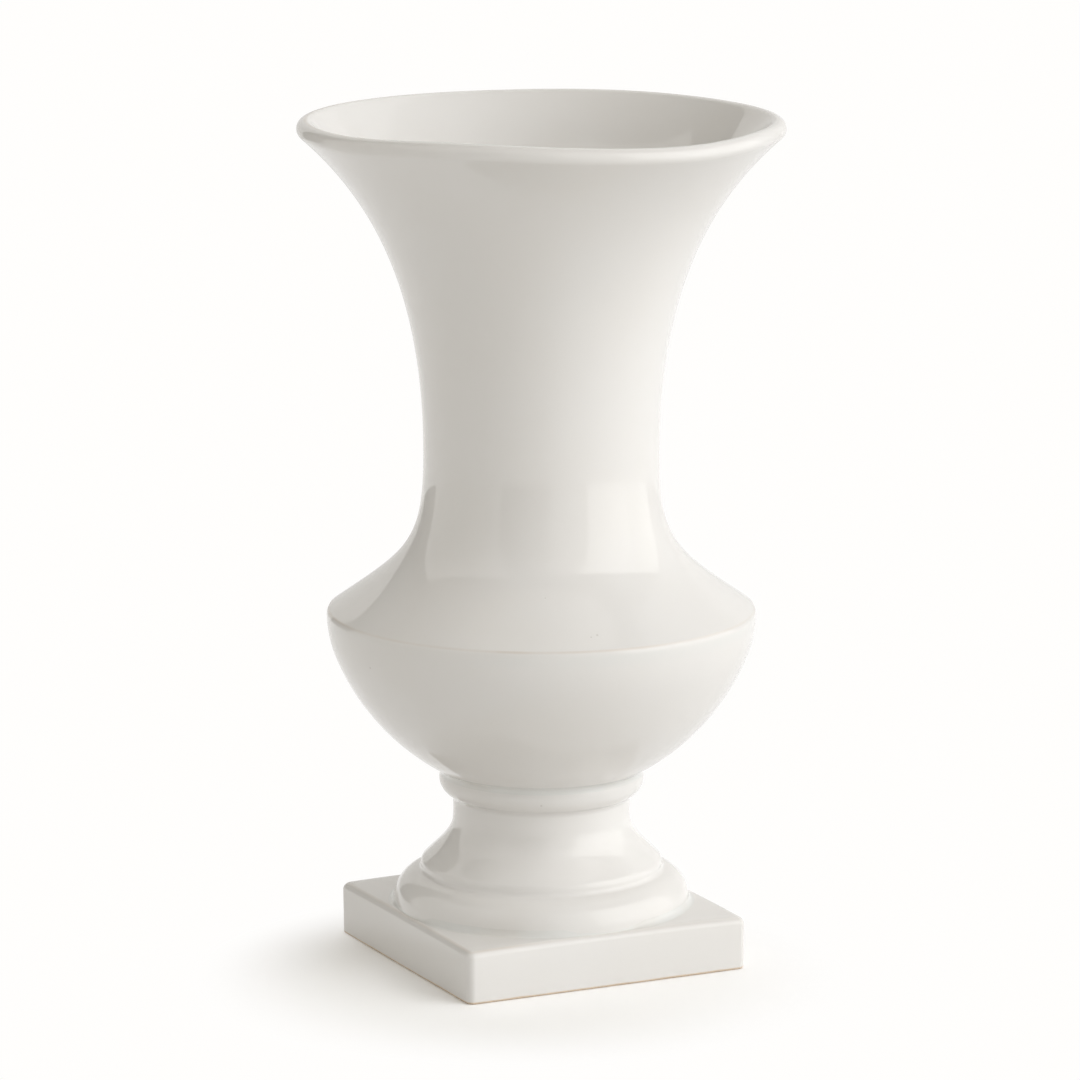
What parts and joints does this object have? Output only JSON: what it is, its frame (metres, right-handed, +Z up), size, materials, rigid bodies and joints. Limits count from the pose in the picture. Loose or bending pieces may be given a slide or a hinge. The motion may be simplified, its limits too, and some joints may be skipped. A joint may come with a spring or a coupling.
{
  "type": "trumpet vase",
  "caption": "Tall ceramic urn vase with a flared trumpet neck, a shouldered bowl and a moulded pedestal foot on a square plinth.",
  "frame": {"origin": "middle of the plinth's underside, on the surface that the vase stands on", "axes": "+Z up along the axis of the vase, X and Y square to the sides of the plinth"},
  "size_m": [0.245, 0.245, 0.43],
  "materials": {
    "white_glaze": "glossy warm white glaze",
    "plinth_glaze": "glossy warm white glaze over a bare clay foot rim",
    "fired_slip": "matt fired clay slip"
  },
  "bodies": {
    "root": {"trumpet_neck": "white_glaze", "shoulder_slip": "fired_slip", "bowl": "white_glaze", "collar_slip": "fired_slip", "pedestal": "white_glaze", "plinth_slip": "fired_slip", "plinth": "plinth_glaze"}
  },
  "joints": []
}
